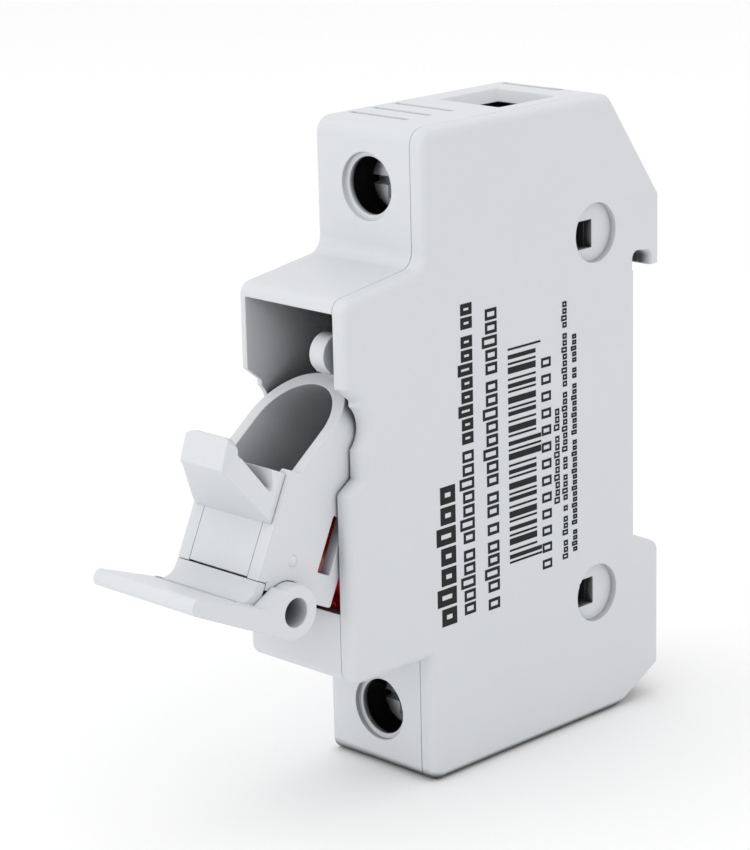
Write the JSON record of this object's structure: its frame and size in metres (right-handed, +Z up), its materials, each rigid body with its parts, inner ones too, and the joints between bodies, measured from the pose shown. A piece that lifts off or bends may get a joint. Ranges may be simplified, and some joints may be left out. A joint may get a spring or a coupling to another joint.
{
  "type": "cartridge fuse holder",
  "caption": "DIN-rail cartridge fuse holder with a swing-out fuse carrier, pull lever, screw clamp terminals, spring rail latch and a red blown-fuse indicator window.",
  "frame": {"origin": "centre of the flat face that sits on the DIN rail, midway across the width and midway up the rail slot", "axes": "+X across the width towards the cover, +Y towards the rail, so the front faces -Y, +Z up"},
  "size_m": [0.018, 0.0811, 0.0816],
  "materials": {
    "shell_plastic": "satin moulded white plastic",
    "carrier_plastic": "satin moulded white plastic",
    "latch_plastic": "satin moulded white plastic",
    "contact_metal": "tin-plated copper alloy",
    "spring_steel": "bright spring steel",
    "zinc_steel": "zinc plated",
    "lens_red": "clear tinted",
    "led_red": "clear tinted",
    "circuit_board": "laminate",
    "resistor_body": "lacquered"
  },
  "bodies": {
    "housing": {"base_shell": "shell_plastic", "cover_shell": "shell_plastic", "upper_fuse_contact": "contact_metal", "lower_fuse_contact": "contact_metal", "upper_contact_spring": "spring_steel", "lower_contact_spring": "spring_steel", "indicator_lens": "lens_red", "indicator_board": "circuit_board", "indicator_led": "led_red", "indicator_resistor": "resistor_body", "indicator_upper_lead": "spring_steel", "indicator_lower_lead": "spring_steel", "din_latch_spring": "spring_steel"},
    "carrier": {"fuse_carrier": "carrier_plastic", "handle_lever": "carrier_plastic", "carrier_insert": "carrier_plastic", "fuse_retaining_spring": "spring_steel"},
    "upper_screw": {"upper_clamp_screw": "zinc_steel"},
    "lower_screw": {"lower_clamp_screw": "zinc_steel"},
    "upper_cage": {"upper_clamp_cage": "zinc_steel"},
    "lower_cage": {"lower_clamp_cage": "zinc_steel"},
    "latch": {"din_latch": "latch_plastic"}
  },
  "joints": [
    {"name": "carrier_swing", "type": "hinge", "parent": "housing", "child": "carrier", "pos_m": [0, -0.0407, -0.0096], "axis": [1, 0, 0], "range_deg": [-65, 0]},
    {"name": "upper_screw_turn", "type": "hinge", "parent": "housing", "child": "upper_screw", "pos_m": [-0.0005, -0.0339, 0.0331], "axis": [0, -1, 0], "range_deg": [-1801, 0]},
    {"name": "lower_screw_turn", "type": "hinge", "parent": "housing", "child": "lower_screw", "pos_m": [-0.0005, -0.0339, -0.0331], "axis": [0, -1, 0], "range_deg": [-1801, 0]},
    {"name": "upper_cage_slide", "type": "slide", "parent": "housing", "child": "upper_cage", "axis": [0, -1, 0], "range_m": [0, 0.004]},
    {"name": "lower_cage_slide", "type": "slide", "parent": "housing", "child": "lower_cage", "axis": [0, -1, 0], "range_m": [0, 0.004]},
    {"name": "latch_slide", "type": "slide", "parent": "housing", "child": "latch", "axis": [0, 0, -1], "range_m": [0, 0.0028], "stiffness_N_per_m": 600, "springref_m": -0.002, "deforming": ["din_latch_spring"]}
  ],
  "couplings": [
    {"joint": "upper_screw_turn", "follows": "upper_cage_slide", "rad_per_m": -7854},
    {"joint": "lower_screw_turn", "follows": "lower_cage_slide", "rad_per_m": -7854}
  ]
}
